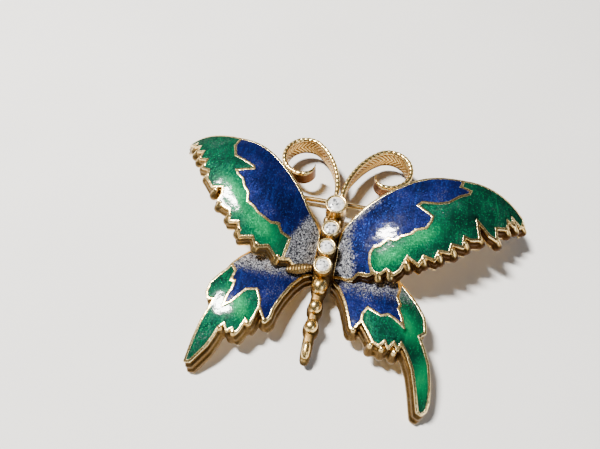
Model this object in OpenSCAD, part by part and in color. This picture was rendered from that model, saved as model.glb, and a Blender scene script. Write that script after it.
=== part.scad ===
// Butterfly brooch: cast wings with enamel cells, four set stones, a beaded
// abdomen, two curled antennae, and a hinged pin with a roller safety catch.
// The stem is closed and the roller is turned to its open place.
// X runs across the wings, +Y points from the tail to the head, +Z points away
// from the cloth. The brooch rests on z = 0.

/* [Place] */
// Distance of the head stone in front of the origin
head_y = 7.8; // [6:0.1:9]

/* [Forewings] */
// Radius of the forewing dome
fore_r = 24; // [23:0.5:26]
// Height of the forewing dome above the cloth
fore_top = 10.2; // [10:0.1:11]
// Distance of the dome's centre from the midline
fore_x = 15; // [14.5:0.1:15.5]
// Distance of the dome's centre in front of the head stone
fore_y = 0.5; // [0:0.1:1]

/* [Hindwings] */
// Radius of the hindwing dome
hind_r = 26; // [25:0.5:28]
// Height of the hindwing dome above the cloth
hind_top = 5.4; // [5.2:0.1:5.6]
// Distance of the dome's centre from the midline
hind_x = 11.5; // [11:0.1:12]
// Distance of the dome's centre behind the head stone
hind_y = 17.5; // [17:0.1:18]

/* [Casting] */
// Depth of a forewing's side wall
fore_wall_h = 1.7; // [1.6:0.05:2]
// Height of each step by which a forewing's side wall spreads outward
fore_step_h = 0.5; // [0.4:0.05:0.6]
// Depth of a hindwing's side wall
hind_wall_h = 2.3; // [2.1:0.05:2.5]
// Height of each step by which a hindwing's side wall spreads outward
hind_step_h = 0.65; // [0.5:0.05:0.75]
// Width of the bare rim round each enamel cell
rim_w = 0.22; // [0.15:0.01:0.3]
// Depth of the cell that holds the enamel
cell_h = 0.6; // [0.5:0.05:0.8]
// How far the enamel lies below the rim
enamel_drop = 0.08; // [0.04:0.01:0.15]
// Thickness of the wing under the enamel
floor_h = 0.7; // [0.6:0.05:0.9]
// Width of the wall left round the hollow back
back_wall = 0.9; // [0.8:0.05:1.2]

/* [Stones and body] */
// Radius of the head stone's cup
head_cup_r = 1.7; // [1.6:0.05:1.8]
// Radius of the cups on the thorax
cup_r = 1.4; // [1.3:0.05:1.45]
// Wall of each cup
cup_wall = 0.35; // [0.25:0.05:0.4]
// Half the width of the thorax
thorax_half_w = 1.5; // [1.5:0.05:1.6]
// Half the width of the abdomen's keel
keel_half_w = 0.85; // [0.7:0.05:1]

/* [Antennae] */
// Thickness of the ribbon
ribbon_w = 0.7; // [0.6:0.05:0.9]
// Height of the ribbon
ribbon_h = 4.0; // [3.6:0.1:4.2]
// Height of the ribbon's top edge above the cloth
ribbon_top = 5.6; // [5.4:0.1:5.8]
// Radius of the hook
hook_r = 3.7; // [3.6:0.05:3.8]
// Radius of the curl at the end
curl_r = 2.1; // [1.9:0.05:2.2]

/* [Pin] */
// Half the distance from the hinge to the catch
pin_half = 14; // [13:0.5:15]
// Distance of the stem in front of the head stone
pin_y = 3.6; // [3.4:0.1:3.8]
// Height of the stem's axis above the cloth
pin_z = 1.5; // [1.5:0.05:1.7]
// Radius of the stem
pin_r = 0.45; // [0.4:0.01:0.48]
// Length of the stem's straight part from the hinge
straight_l = 25.8; // [25.5:0.1:26]
// Length of the stem's long point, which lies in the catch
point_l = 7.4; // [7:0.1:7.6]
// Radius of the collar that stiffens the stem beside the hinge
shoulder_r = 0.75; // [0.7:0.01:0.8]
// Radius of the knuckle on the stem
knuckle_r = 1.05; // [0.95:0.05:1.1]
// Radius of the hinge rivet
rivet_r = 0.45; // [0.4:0.01:0.5]
// Outer radius of the hinge ears and of the catch barrel
ear_r = 1.5; // [1.45:0.01:1.5]
// Length of the catch barrel
barrel_l = 2.2; // [2:0.1:2.6]
// Width of the slot that lets the stem in
slot_w = 1.2; // [1.1:0.05:1.3]
// Length of the roller's thumb tab from the axis
tab_l = 2.8; // [2.4:0.1:3]

/* [Hidden] */
$fn = 64;

gold = "#c9a24a";
dark_gold = "#a8803a";
blue = "#16307a";
green = "#128a4a";
stone = "#dfe6ee";

deep = 40;          // taller than the whole brooch, for cutting prisms
thorax_z = 0.8;     // height of the thorax's underside
gap = 0.1;          // clearance beside the knuckle and the roller
round_r = 0.2;      // rounding on the outer corners of a wing
fore_shift = [0.2, -0.2];    // how far each step moves towards the trailing edge
hind_shift = [-0.2, -0.45];
spread_step = 0.05; // how much wider each step is all round
rivet_gap = 0.07;   // radial running clearance on the hinge rivet
roller_gap = 0.08;  // radial running clearance of the roller in its barrel
roller_bore = 0.6;  // radius of the roller's bore
sleeve_r = 1.05;    // outer radius of the roller's sleeve
ear_w = 0.7;         // thickness of an ear
ear_in = pin_r + gap; // from the middle of the hinge to an ear
shoulder_x = 1.8;   // from the hinge axis
shoulder_l = 0.8;
rivet_head_r = 0.8;
rivet_head_h = 0.3;
post_w = 2.6;
post_top_gap = cell_h + floor_h;
collar_w = 0.5;
collar_r = 1.35;
tab_w = 0.7;

// Wing outlines. The first number of a point is its distance from the midline
// and the second is its distance in front of the head stone.

// Leading edge from the root to the top of the cell divider, a smooth curve
fore_lead_left = [[1.5, -5.2], [2, -4], [3.8, -2.2], [5.6, 0.3], [8.6, 3.5], [12.2, 6.5], [15.2, 8.1],
    [18.2, 8.9]];
fore_lead_right = [[1.5, -5], [2, -3.4], [3.4, -1.5], [5.5, 0.8], [8.6, 3.3], [12.2, 5.6], [15.2, 6.6],
    [18.8, 7.1]];
// Leading edge from the divider to the wing tip, a smooth curve
fore_tip_left = [[18.2, 8.9], [21.5, 9.8], [25, 10.6], [27.6, 10.8], [28.9, 10.3]];
fore_tip_right = [[18.8, 7.1], [21.5, 7.4], [24.5, 7], [27, 5.8], [28.8, 4.3]];
// Teeth of the trailing edge from the tip to the end of the green cell
fore_teeth_left = [[29.2, 9.4], [28, 8.6], [27.2, 9], [26.8, 7.4], [25.6, 7.4], [25.3, 5.6], [24, 5.5],
    [24, 3.6], [22.4, 3.3], [22.6, 1.5], [21.2, 1], [21, -0.6], [19.6, -2.1], [17.8, -1.9],
    [17.5, -3.2], [17.9, -4.3], [16.6, -5.2], [15.6, -5.5], [15.2, -7.2], [13.8, -7], [13.2, -9.1],
    [11.2, -8.6], [10.5, -9.8], [8.7, -9.2], [7.2, -10.5], [6.3, -10.3]];
fore_teeth_right = [[29.2, 3.2], [28.3, 2.3], [26.8, 3.2], [27, 1.9], [25.9, 2.2], [26, 0.7], [24, 0],
    [24.2, -1.9], [23, -1.6], [21, 0.1], [21.6, -2.8], [20.3, -3.2], [19.3, -3], [19.3, -4.6],
    [17.6, -4.6], [17.5, -5.8], [16, -5.9], [15.6, -7.3], [14, -7], [13.5, -8.3], [11.8, -7.4],
    [11.1, -9.3], [10.3, -10], [9.2, -9.4], [8.4, -10.1], [7.5, -9.9]];
// Trailing edge from the green cell to the thorax
fore_root_left = [[5.4, -10], [4.6, -10.6], [3.6, -10.2], [2.6, -10.4], [1.5, -9.8]];
fore_root_right = [[6.8, -10.3], [5.4, -10.1], [4.6, -10.9], [3.6, -10.9], [2.6, -10.6], [1.5, -10.5]];
// Divider between the blue and green cells, from the leading to the trailing edge
fore_divider_left = [[18.6, 6.8], [17.6, 4.4], [15.8, 3.6], [14, 2.7], [13.8, 2.2], [16.5, 1.4],
    [16, 0.7], [15, 0], [14.4, -1.2], [13.5, -2.2], [13.2, -3.7], [12.1, -4.2], [11.2, -5], [10, -5.5],
    [9, -5.9], [7.9, -5.7], [7.2, -6.8], [5.8, -7.2]];
fore_divider_right = [[18.3, 5.6], [19.9, 5.3], [19.6, 4.5], [18.2, 3.6], [16.6, 2], [15, 1.4],
    [12.8, 1.3], [12.2, 0.6], [14.5, -0.9], [14.4, -1.7], [13.8, -2.9], [12.4, -3.4], [11.8, -4.1],
    [10.5, -4.6], [9.8, -5.2], [8.7, -5.1], [7.7, -6.2], [6.9, -6.4], [6.5, -7.2], [6.6, -8.4],
    [7, -9.4]];

// Front edge of the hindwing, under the forewing, from the thorax outward
hind_front = [[1.5, -9.4], [4, -8.8], [8, -8.2], [10.5, -8.4]];
hind_side_left = [[12, -9.5], [13.2, -11], [14, -12.3]];
hind_side_right = [[11.6, -9.6]];
// Outer edge and tail of the green cell
hind_tail_left = [[14.3, -13.2], [15.2, -14.4], [16.2, -16], [16.3, -17.6], [15.8, -18.5],
    [14.8, -18.4], [15.2, -20], [15.8, -22], [16.3, -24.5], [16.6, -26.5], [16.8, -27.6], [16, -27.5],
    [15, -26.3], [14, -25], [13.3, -23.5], [12.9, -22.3]];
hind_tail_right = [[13.2, -11.4], [14.6, -13], [15.7, -14.7], [16, -16.8], [15.2, -17.5], [16, -19],
    [16.9, -21], [17.4, -23.5], [17.6, -25.6], [17.4, -26.7], [16.9, -27.2], [16.3, -27], [16, -26],
    [15.5, -24.2], [14.8, -22], [13.8, -20.2], [12.9, -19]];
// Teeth between the tail and the divider
hind_teeth_left = [[12.2, -21.6], [11.6, -22.6], [10.9, -22], [10.3, -22.7], [9.8, -21.9], [9.3, -20.4],
    [8.6, -20.9], [8.2, -19.6]];
hind_teeth_right = [[12.5, -20], [11.9, -19.1], [11.2, -20.1], [10.6, -19.2], [9.9, -20], [9, -19.6],
    [8, -18.2]];
// Inner point of the blue cell and the edge back to the thorax
hind_inner_left = [[7.1, -19.3], [6.5, -20], [6, -19.2], [5.9, -18], [5.2, -15.8], [4.2, -13.4],
    [3, -11.5], [1.5, -10.4]];
hind_inner_right = [[6.4, -17.9], [6, -18.5], [5.6, -18.1], [5, -16.4], [4.2, -14.4], [3, -12.3],
    [1.5, -10.8]];
// Divider of the hindwing from the inner edge to the outer edge
hind_divider_left = [[7.9, -18], [8.1, -17], [8.9, -15.6], [10.5, -16], [11.2, -17], [12.1, -18.3],
    [13.1, -19.1], [13, -17.6], [12.6, -16.4], [12.6, -15], [13.2, -15.1], [13, -13.4]];
hind_divider_right = [[7, -16.9], [7, -15.9], [7.6, -14.8], [8.6, -15.3], [9.6, -15.7], [10.6, -15.3],
    [11.6, -15.8], [12.9, -16.7], [12.6, -15.6], [11.9, -14.2], [12.1, -13.6], [11.6, -12.4],
    [11.8, -11]];

// Places of the stones and beads behind the head stone, with their heights
stone_y = [0, -4.3, -7.4, -10.4];
stone_z = [7.4, 7.2, 7.0, 6.8];
bead_y = [-12.9, -16, -18.9];
bead_r = [1.2, 1, 0.98];
keel_start = -12;
keel_end = -24.6;
keel_slope = -11;   // the abdomen falls towards the tail, in degrees
keel_z = 4.5;       // height of the keel's top at its front
keel_h = 1.7;
keel_taper_y = -20; // where the tongue begins
tongue_r = 0.7;
side_bead_y = [-14.6, -17.5, -20.2];
side_bead_r = 0.75;
bar_y = [-23.2, -21.9]; // ends of the long last bead
bar_r = 0.6;

function catmull(a, b, c, d, t) =
    0.5 * (2 * b + (c - a) * t + (2 * a - 5 * b + 4 * c - d) * t * t
        + (3 * b - a - 3 * c + d) * t * t * t);

// Smooth curve through every point of p, with n steps between two points
function curve(p, n = 4) = [
    for (i = [0 : len(p) - 2])
        for (k = [0 : n - 1])
            catmull(p[max(i - 1, 0)], p[i], p[i + 1], p[min(i + 2, len(p) - 1)], k / n),
    p[len(p) - 1]
];

function reversed(p) = [for (i = [len(p) - 1 : -1 : 0]) p[i]];

// Points of an arc about c from angle a0 to a1
function arc(c, r, a0, a1, n) = [
    for (i = [0 : n]) let (a = a0 + (a1 - a0) * i / n) c + r * [cos(a), sin(a)]
];

// side is -1 for the left and 1 for the right
module on_side(side) {
    mirror([side < 0 ? 1 : 0, 0, 0]) children();
}

module ball(r, centre) {
    translate(centre) rotate([90, 0, 0]) sphere(r);
}

module fore_ball(depth) {
    ball(fore_r - depth, [fore_x, fore_y, fore_top - fore_r]);
}

module hind_ball(depth) {
    ball(hind_r - depth, [hind_x, -hind_y, hind_top - hind_r]);
}

module fore_blue_2d(side) {
    lead = side < 0 ? fore_lead_left : fore_lead_right;
    divider = side < 0 ? fore_divider_left : fore_divider_right;
    root = side < 0 ? fore_root_left : fore_root_right;
    teeth = side < 0 ? fore_teeth_left : fore_teeth_right;
    polygon(concat(curve(lead), divider, [teeth[len(teeth) - 1]], root));
}

module fore_green_2d(side) {
    tip = side < 0 ? fore_tip_left : fore_tip_right;
    divider = side < 0 ? fore_divider_left : fore_divider_right;
    teeth = side < 0 ? fore_teeth_left : fore_teeth_right;
    polygon(concat(curve(tip), teeth, reversed(divider)));
}

module hind_blue_2d(side) {
    inner = side < 0 ? hind_inner_left : hind_inner_right;
    divider = side < 0 ? hind_divider_left : hind_divider_right;
    edge = side < 0 ? hind_side_left : hind_side_right;
    polygon(concat(hind_front, edge, reversed(divider), inner));
}

module hind_green_2d(side) {
    tail = side < 0 ? hind_tail_left : hind_tail_right;
    divider = side < 0 ? hind_divider_left : hind_divider_right;
    edge = side < 0 ? hind_side_left : hind_side_right;
    teeth = side < 0 ? hind_teeth_left : hind_teeth_right;
    polygon(concat([edge[len(edge) - 1]], tail, teeth, divider));
}

// Whole outline of a wing, with rounded teeth, flat against the thorax
module wing_2d(spread = round_r) {
    intersection() {
        offset(r = spread, $fn = 12) children();
        translate([thorax_half_w, -deep]) square([deep, 2 * deep]);
    }
}

// level is 0 at the rim, and 1 and 2 on the lower steps of the side wall
module fore_2d(side, level = 0) {
    wing_2d(round_r + spread_step * level) translate(level * fore_shift) {
        fore_blue_2d(side);
        fore_green_2d(side);
    }
}

module hind_2d(side, level = 0) {
    wing_2d(round_r + spread_step * level) translate(level * hind_shift) {
        hind_blue_2d(side);
        hind_green_2d(side);
    }
}

module prism() {
    translate([0, 0, -deep / 2]) linear_extrude(deep) children();
}

module above(z) {
    translate([-deep, -deep, z]) cube([2 * deep, 2 * deep, deep]);
}

// Wing without its cells and its hollow back
module forewing_body(side) {
    difference() {
        for (level = [0 : 2]) intersection() {
            prism() fore_2d(side, level);
            fore_ball(level * fore_step_h);
            above(thorax_z);
        }
        fore_ball(fore_wall_h);
    }
}

module hindwing_body(side) {
    difference() {
        for (level = [0 : 2]) intersection() {
            prism() hind_2d(side, level);
            hind_ball(level * hind_step_h);
            above(0);
        }
        hind_ball(hind_wall_h);
    }
}

// Casting of one forewing: side walls, enamel cells on top, hollow back
module forewing_casting(side) {
    difference() {
        forewing_body(side);
        intersection() {
            prism() offset(delta = -back_wall) fore_2d(side);
            fore_ball(cell_h + floor_h);
        }
        difference() {
            prism() {
                offset(delta = -rim_w) fore_blue_2d(side);
                offset(delta = -rim_w) fore_green_2d(side);
            }
            fore_ball(cell_h);
        }
        for (level = [0 : 2]) intersection() {
            prism() hind_2d(side, level);
            hind_ball(level * hind_step_h);
        }
    }
}

module hindwing_casting(side) {
    difference() {
        hindwing_body(side);
        intersection() {
            prism() offset(delta = -back_wall) hind_2d(side);
            hind_ball(cell_h + floor_h);
        }
        difference() {
            prism() {
                offset(delta = -rim_w) hind_blue_2d(side);
                offset(delta = -rim_w) hind_green_2d(side);
            }
            hind_ball(cell_h);
        }
    }
}

// Enamel that fills one cell of a forewing
module fore_enamel() {
    difference() {
        intersection() {
            prism() offset(delta = -rim_w) children();
            fore_ball(enamel_drop);
        }
        fore_ball(cell_h);
    }
}

module hind_enamel() {
    difference() {
        intersection() {
            prism() offset(delta = -rim_w) children();
            hind_ball(enamel_drop);
        }
        hind_ball(cell_h);
    }
}

module placed() {
    translate([0, head_y, 0]) children();
}

// Block that carries the wings, with a cup for each stone
module thorax() {
    color(gold) placed() difference() {
        union() {
            translate([-thorax_half_w, 0, 0]) rotate([90, 0, 90]) linear_extrude(2 * thorax_half_w)
                polygon([[0.8, 5.4], [0.8, 3], [-3.5, 2.6], [-8.5, thorax_z],
                    [keel_start, thorax_z], [keel_start, 4.6]]);
            for (i = [0 : 3]) {
                r = i == 0 ? head_cup_r : cup_r;
                translate([0, stone_y[i], 3.2]) cylinder(h = stone_z[i] - 3.2, r = r);
            }
        }
        for (i = [0 : 3]) {
            r = (i == 0 ? head_cup_r : cup_r) - cup_wall;
            translate([0, stone_y[i], stone_z[i] - 1.2]) cylinder(h = 2, r = r);
        }
    }
}

// Brilliant-cut stone: table, crown, girdle and pavilion
module set_stone(i) {
    r = (i == 0 ? head_cup_r : cup_r) - cup_wall;
    color(stone) placed() translate([0, stone_y[i], stone_z[i] - 1.2])
        rotate_extrude() polygon([[0, 0], [0.25 * r, 0], [r, 0.7], [r, 0.9], [0.6 * r, 1.3], [0, 1.3]]);
}

// Outline of the keel: straight, lobed beside the beads, and a tapering tongue
module keel_2d() {
    tongue_y = keel_end + tongue_r;
    translate([-keel_half_w, keel_taper_y]) square([2 * keel_half_w, keel_start + 1 - keel_taper_y]);
    for (i = [0 : 2]) translate([0, bead_y[i]]) circle(bead_r[i] + 0.15);
    polygon([[-keel_half_w, keel_taper_y], [keel_half_w, keel_taper_y],
        [tongue_r, tongue_y], [-tongue_r, tongue_y]]);
    translate([0, tongue_y]) circle(tongue_r);
}

// Keel with a row of beads, smaller beads beside them and a flat tongue
module abdomen() {
    color(gold) placed() difference() {
        translate([0, keel_start, keel_z]) rotate([-keel_slope, 0, 0]) translate([0, -keel_start, 0]) {
            translate([0, 0, -keel_h]) linear_extrude(keel_h) keel_2d();
            for (i = [0 : 2]) translate([0, bead_y[i], -0.05]) sphere(bead_r[i]);
            for (y = side_bead_y, side = [-1, 1])
                translate([0.45 * side, y, -0.75]) sphere(side_bead_r);
            translate([0, bar_y[0], -0.05]) rotate([-90, 0, 0])
                cylinder(h = bar_y[1] - bar_y[0], r = bar_r);
            for (y = bar_y) translate([0, y, -0.05]) sphere(bar_r);
        }
        translate([-deep, keel_start, -deep]) cube(2 * deep);
    }
}

// Ribbon on edge: a long arc from the head, a hook, and a curl to a point
module antenna(side) {
    hook = [7.3, 9.7];
    stem_centre = [13.6, 2.8];
    stem_r = 13.1;
    join = 132;   // direction of the place where the stem meets the hook
    line = concat(
        arc(stem_centre, stem_r, 182, join + 4, 9),
        arc(hook, hook_r, join - 8, -84, 22),
        arc([hook[0], hook[1] - hook_r + curl_r], curl_r, -100, -190, 8));
    last = len(line) - 1;
    // Half width: even, then tapering to a point over the curl
    half = [for (i = [0 : last]) 0.5 * ribbon_w * min(1, (last - i) / 8 + 0.05)];
    across = [for (i = [0 : last])
        let (d = line[min(i + 1, last)] - line[max(i - 1, 0)]) [-d[1], d[0]] / norm(d)];
    outer = [for (i = [0 : last]) line[i] + half[i] * across[i]];
    inner = [for (i = [0 : last]) line[i] - half[i] * across[i]];
    color(gold) placed() on_side(side) translate([0, 0, ribbon_top - ribbon_h]) difference() {
        union() {
            linear_extrude(ribbon_h) polygon(concat(outer, reversed(inner)));
            linear_extrude(ribbon_h) polygon([[0, 0], [0.9, 0], [0.9, 3.4], [0.15, 3.4], [0, 2.2]]);
        }
        translate([0, 0, -1]) cylinder(h = ribbon_h + 2, r = head_cup_r);
        // Underside that rises to the head, clear of the pin stem
        translate([-5, 0, 0]) rotate([90, 0, 90]) linear_extrude(10)
            polygon([[-1, -1], [-1, 2], [2, 2], [9, -0.1], [9, -1]]);
    }
}

// Clevis under the left forewing
module hinge_bracket() {
    color(gold) placed() difference() {
        intersection() {
            union() {
                translate([-pin_half - post_w / 2, pin_y - ear_in - ear_w, pin_z + 1.6])
                    cube([post_w, 2 * (ear_in + ear_w), 8]);
                for (side = [-1, 1]) {
                    translate([-pin_half, pin_y + side * (ear_in + ear_w / 2), pin_z]) {
                        rotate([90, 0, 0]) cylinder(h = ear_w, r = ear_r, center = true);
                        translate([-post_w / 2, -ear_w / 2, 0.4]) cube([post_w, ear_w, 1.6]);
                    }
                }
            }
            mirror([1, 0, 0]) fore_ball(post_top_gap);
        }
        translate([-pin_half, pin_y, pin_z]) rotate([90, 0, 0]) cylinder(h = 6, r = rivet_r, center = true);
    }
}

module hinge_rivet() {
    half = ear_in + ear_w;
    color(dark_gold) placed() translate([-pin_half, pin_y, pin_z]) rotate([90, 0, 0]) {
        cylinder(h = 2 * half, r = rivet_r, center = true);
        for (end = [-1, 1])
            translate([0, 0, end * (half + rivet_head_h / 2)])
                cylinder(h = rivet_head_h, r = rivet_head_r, center = true);
    }
}

// Knuckle, straight stem and point
module pin_stem() {
    color(gold) placed() translate([-pin_half, pin_y, pin_z]) difference() {
        union() {
            rotate([90, 0, 0]) cylinder(h = 2 * pin_r, r = knuckle_r, center = true);
            rotate([0, 90, 0]) cylinder(h = straight_l, r = pin_r);
            translate([shoulder_x, 0, 0]) rotate([0, 90, 0]) cylinder(h = shoulder_l, r = shoulder_r);
            translate([straight_l, 0, 0]) rotate([0, 90, 0]) cylinder(h = point_l, r1 = pin_r, r2 = 0.06);
        }
        rotate([90, 0, 0]) cylinder(h = 3, r = rivet_r + rivet_gap, center = true);
    }
}

// Post and slotted barrel under the right forewing
module catch_bracket() {
    color(gold) placed() difference() {
        intersection() {
            union() {
                translate([pin_half - barrel_l / 2, pin_y - ear_r + 0.2, pin_z + 1])
                    cube([barrel_l, 2 * ear_r - 0.4, 9]);
                translate([pin_half, pin_y, pin_z]) rotate([0, 90, 0])
                    cylinder(h = barrel_l, r = ear_r, center = true);
            }
            fore_ball(post_top_gap);
        }
        translate([pin_half, pin_y, pin_z]) {
            rotate([0, 90, 0]) cylinder(h = 4, r = sleeve_r + roller_gap, center = true);
            translate([-2, -slot_w / 2, -3]) cube([4, slot_w, 3]);
        }
    }
}

// Slotted sleeve that turns in the barrel to shut the mouth
module safety_roller() {
    sleeve_half = barrel_l / 2 + gap;
    color(dark_gold) placed() translate([pin_half, pin_y, pin_z]) difference() {
        union() {
            rotate([0, 90, 0]) cylinder(h = 2 * sleeve_half, r = sleeve_r, center = true);
            for (end = [-1, 1])
                translate([end * (sleeve_half + collar_w / 2), 0, 0])
                    rotate([0, 90, 0]) cylinder(h = collar_w, r = collar_r, center = true);
            translate([sleeve_half, 0.9, -tab_w / 2]) cube([collar_w, tab_l - 0.9, tab_w]);
            translate([sleeve_half, tab_l, 0]) rotate([0, 90, 0]) cylinder(h = collar_w, r = 0.6);
        }
        rotate([0, 90, 0]) cylinder(h = 8, r = roller_bore, center = true);
        translate([-4, -slot_w / 2, -3]) cube([8, slot_w, 3]);
    }
}

module forewing_left() { color(gold) placed() on_side(-1) forewing_casting(-1); }
module forewing_right() { color(gold) placed() on_side(1) forewing_casting(1); }
module hindwing_left() { color(gold) placed() on_side(-1) hindwing_casting(-1); }
module hindwing_right() { color(gold) placed() on_side(1) hindwing_casting(1); }
module forewing_blue_left() { color(blue) placed() on_side(-1) fore_enamel() fore_blue_2d(-1); }
module forewing_blue_right() { color(blue) placed() on_side(1) fore_enamel() fore_blue_2d(1); }
module forewing_green_left() { color(green) placed() on_side(-1) fore_enamel() fore_green_2d(-1); }
module forewing_green_right() { color(green) placed() on_side(1) fore_enamel() fore_green_2d(1); }
module hindwing_blue_left() { color(blue) placed() on_side(-1) hind_enamel() hind_blue_2d(-1); }
module hindwing_blue_right() { color(blue) placed() on_side(1) hind_enamel() hind_blue_2d(1); }
module hindwing_green_left() { color(green) placed() on_side(-1) hind_enamel() hind_green_2d(-1); }
module hindwing_green_right() { color(green) placed() on_side(1) hind_enamel() hind_green_2d(1); }

thorax();
abdomen();
set_stone(0);  // head_stone
set_stone(1);  // collar_stone
set_stone(2);  // chest_stone
set_stone(3);  // waist_stone
antenna(-1);  // antenna_left
antenna(1);  // antenna_right
forewing_left();
forewing_right();
hindwing_left();
hindwing_right();
forewing_blue_left();
forewing_green_left();
forewing_blue_right();
forewing_green_right();
hindwing_blue_left();
hindwing_green_left();
hindwing_blue_right();
hindwing_green_right();
hinge_bracket();
hinge_rivet();
pin_stem();
catch_bracket();
safety_roller();
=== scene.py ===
import math
import random

import bpy
import bmesh
import numpy as np
from mathutils import Matrix, Vector, geometry, noise


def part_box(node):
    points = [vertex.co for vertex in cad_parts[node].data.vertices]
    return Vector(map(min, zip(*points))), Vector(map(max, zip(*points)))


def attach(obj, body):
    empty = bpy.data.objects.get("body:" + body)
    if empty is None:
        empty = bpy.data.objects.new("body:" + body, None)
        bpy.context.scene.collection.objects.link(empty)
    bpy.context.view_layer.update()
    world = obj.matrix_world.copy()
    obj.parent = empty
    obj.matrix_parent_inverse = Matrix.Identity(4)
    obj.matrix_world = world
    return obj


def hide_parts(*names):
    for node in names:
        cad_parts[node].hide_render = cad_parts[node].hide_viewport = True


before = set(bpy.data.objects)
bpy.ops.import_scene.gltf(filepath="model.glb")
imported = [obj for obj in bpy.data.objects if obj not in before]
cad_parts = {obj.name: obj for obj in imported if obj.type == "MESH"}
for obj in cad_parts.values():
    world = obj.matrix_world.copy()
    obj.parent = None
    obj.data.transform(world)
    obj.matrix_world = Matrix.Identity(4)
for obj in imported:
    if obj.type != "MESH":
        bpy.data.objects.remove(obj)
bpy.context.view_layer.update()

# Lengths below are in millimetres: x and y from the head stone, z from the cloth.
# MM turns them into metres.
MM = 0.001
random.seed(4)

stone_low, stone_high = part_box("head_stone")
HEAD = np.array([0.0, 0.5 * (stone_low.y + stone_high.y) / MM, 0.0])

# The rims of each wing lie on a sphere. The centres are those of the right wings.
FORE_R = 24.0
FORE_CENTRE = (15.0, 0.5, 10.2 - FORE_R)
HIND_R = 26.0
HIND_CENTRE = (11.5, -17.5, 5.4 - HIND_R)
# How far the enamel lies below the rims
ENAMEL_DROP = 0.08
# The four stone cups: place, height of the rim and outer radius
STONE_NAMES = ("head_stone", "collar_stone", "chest_stone", "waist_stone")
STONE_Y = (0.0, -4.3, -7.4, -10.4)
STONE_Z = (7.4, 7.2, 7.0, 6.8)
CUP_R = (1.7, 1.4, 1.4, 1.4)
CUP_WALL = 0.35


# ---------------------------------------------------------------- materials

class Nodes:
    """A node tree with short ways to add and join nodes."""

    def __init__(self, tree):
        self.tree = tree

    def add(self, kind, **values):
        node = self.tree.nodes.new(kind)
        for key, value in values.items():
            setattr(node, key, value)
        return node

    def join(self, out, socket):
        self.tree.links.new(out, socket)

    def math(self, operation, a, b=0.0, c=0.0, clamp=False):
        node = self.add("ShaderNodeMath", operation=operation, use_clamp=clamp)
        for socket, value in zip(node.inputs, (a, b, c)):
            if isinstance(value, (int, float)):
                socket.default_value = value
            else:
                self.join(value, socket)
        return node.outputs[0]

    def mix(self, factor, a, b):
        node = self.add("ShaderNodeMix", data_type="RGBA")
        for socket, value in zip((node.inputs[0], node.inputs[6], node.inputs[7]), (factor, a, b)):
            if isinstance(value, (int, float)):
                socket.default_value = value
            elif isinstance(value, tuple):
                socket.default_value = (*value, 1.0)
            else:
                self.join(value, socket)
        return node.outputs[2]

    def place(self):
        """Object coordinates in millimetres."""
        coord = self.add("ShaderNodeTexCoord")
        return self.scaled(coord.outputs["Object"], 1.0 / MM)

    def scaled(self, vector, factor):
        node = self.add("ShaderNodeVectorMath", operation="SCALE")
        node.inputs["Scale"].default_value = factor
        self.join(vector, node.inputs[0])
        return node.outputs[0]

    def noise(self, place, scale, detail=2.0, rough=0.5):
        node = self.add("ShaderNodeTexNoise")
        node.inputs["Scale"].default_value = scale
        node.inputs["Detail"].default_value = detail
        node.inputs["Roughness"].default_value = rough
        self.join(place, node.inputs["Vector"])
        return node.outputs["Fac"]

    def ramp(self, value, low, high):
        """0 below low, 1 above high, smooth between."""
        node = self.add("ShaderNodeMapRange", interpolation_type="SMOOTHSTEP")
        node.inputs["From Min"].default_value = low
        node.inputs["From Max"].default_value = high
        self.join(value, node.inputs["Value"])
        return node.outputs["Result"]

    def attribute(self, name):
        node = self.add("ShaderNodeAttribute", attribute_name=name)
        return node.outputs["Fac"]

    def cells(self, place, scale):
        """A random colour for each grain, whole and as its three channels."""
        node = self.add("ShaderNodeTexVoronoi")
        node.inputs["Scale"].default_value = scale
        self.join(place, node.inputs["Vector"])
        split = self.add("ShaderNodeSeparateColor")
        self.join(node.outputs["Color"], split.inputs[0])
        return node.outputs["Color"], split.outputs

    def bump(self, height, strength, distance, normal=None):
        """Normal tilted by a height; distance is in metres."""
        node = self.add("ShaderNodeBump")
        node.inputs["Strength"].default_value = strength
        node.inputs["Distance"].default_value = distance
        self.join(height, node.inputs["Height"])
        if normal is not None:
            self.join(normal, node.inputs["Normal"])
        return node.outputs["Normal"]


def new_material(name):
    """A material, its nodes and its surface shader."""
    material = bpy.data.materials.new(name)
    material.use_nodes = True
    return material, Nodes(material.node_tree), material.node_tree.nodes["Principled BSDF"]


def wall_soil_and_shade(n):
    """Painted shade and soil on a wing's side wall: none at the rim, none at the lower edge so that it
    stays pale as a painted highlight, little on the hollow back.
    """
    under_rim = n.ramp(n.attribute("below_rim"), 0.1, 0.45)
    over_foot = n.math("MULTIPLY_ADD", n.ramp(n.attribute("above_foot"), 0.28, 0.5), 0.9, 0.1)
    soil_and_shade = n.math("MULTIPLY", n.math("MULTIPLY", under_rim, over_foot), n.attribute("grime_and_shade"))
    on_back = n.math("MULTIPLY_ADD", n.attribute("back"), -0.65, 1.0)
    return n.math("MINIMUM", soil_and_shade, on_back)


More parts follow.
